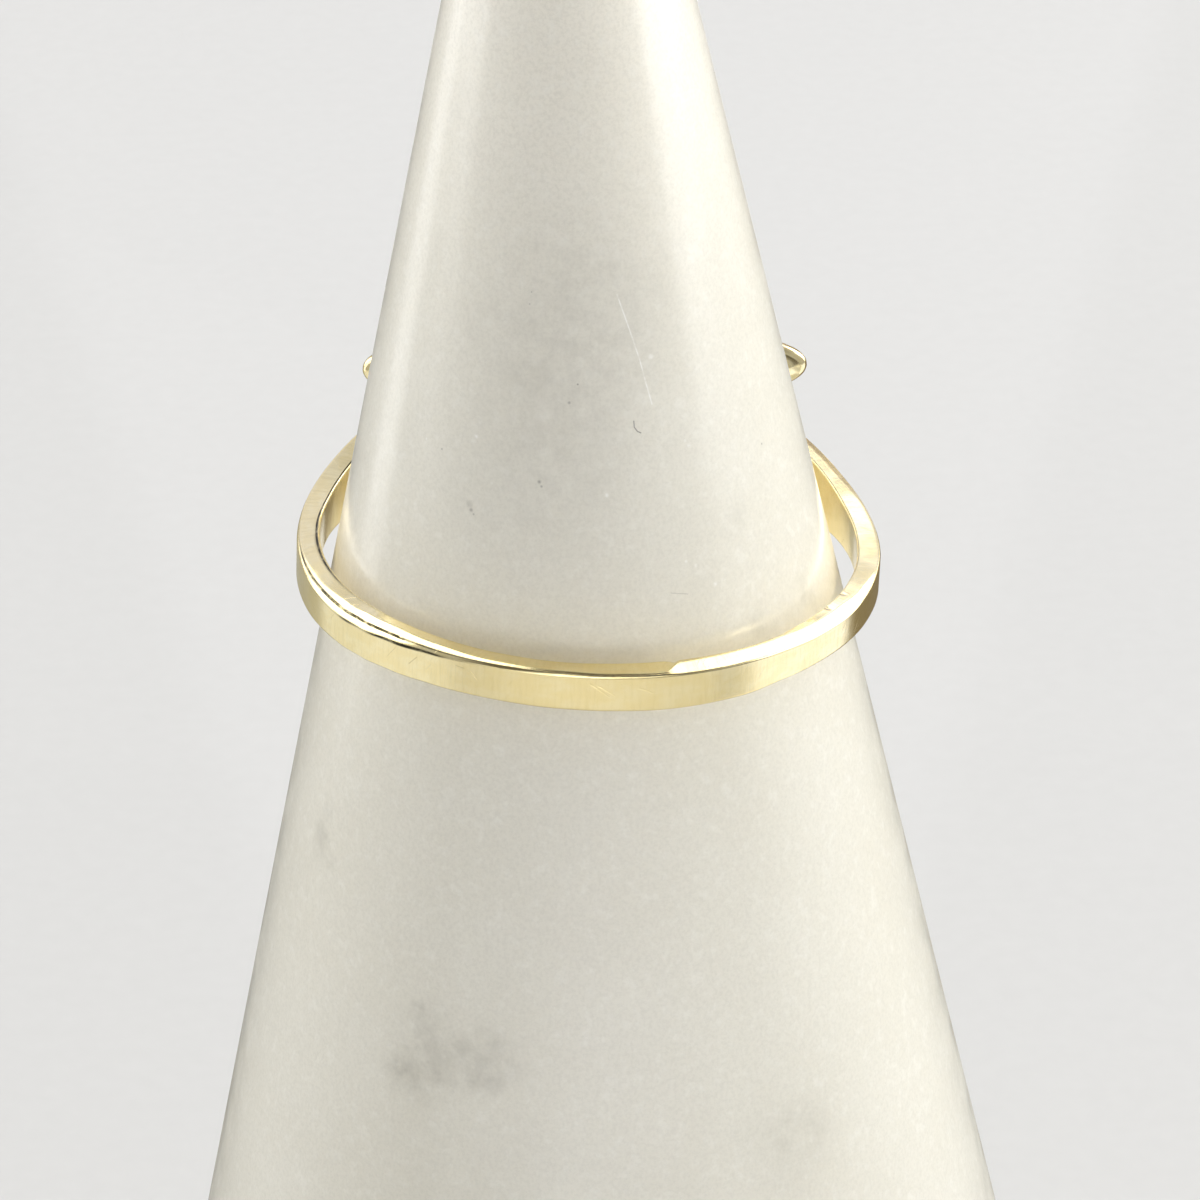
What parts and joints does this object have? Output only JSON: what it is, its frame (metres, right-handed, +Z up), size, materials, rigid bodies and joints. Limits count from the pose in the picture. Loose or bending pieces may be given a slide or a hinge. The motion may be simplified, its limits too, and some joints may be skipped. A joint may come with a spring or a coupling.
{
  "type": "stackable ring on a cone ring stand",
  "caption": "Slim flat gold finger ring with flaring shoulders and a boat-shaped head, resting round a polished marble cone stand.",
  "frame": {"origin": "middle of the stand's flat base", "axes": "+Z up the cone's axis to its tip, -Y towards the ring's palm side, +Y towards the ring's head, +X to the right as seen from the palm side"},
  "size_m": [0.0404, 0.0404, 0.088],
  "materials": {
    "gold": "polished yellow gold, with fine polishing lines and light wear",
    "marble": "polished white marble with faint grey clouds and specks"
  },
  "bodies": {
    "root": {"ring": "gold", "cone_stand": "marble"}
  },
  "joints": []
}
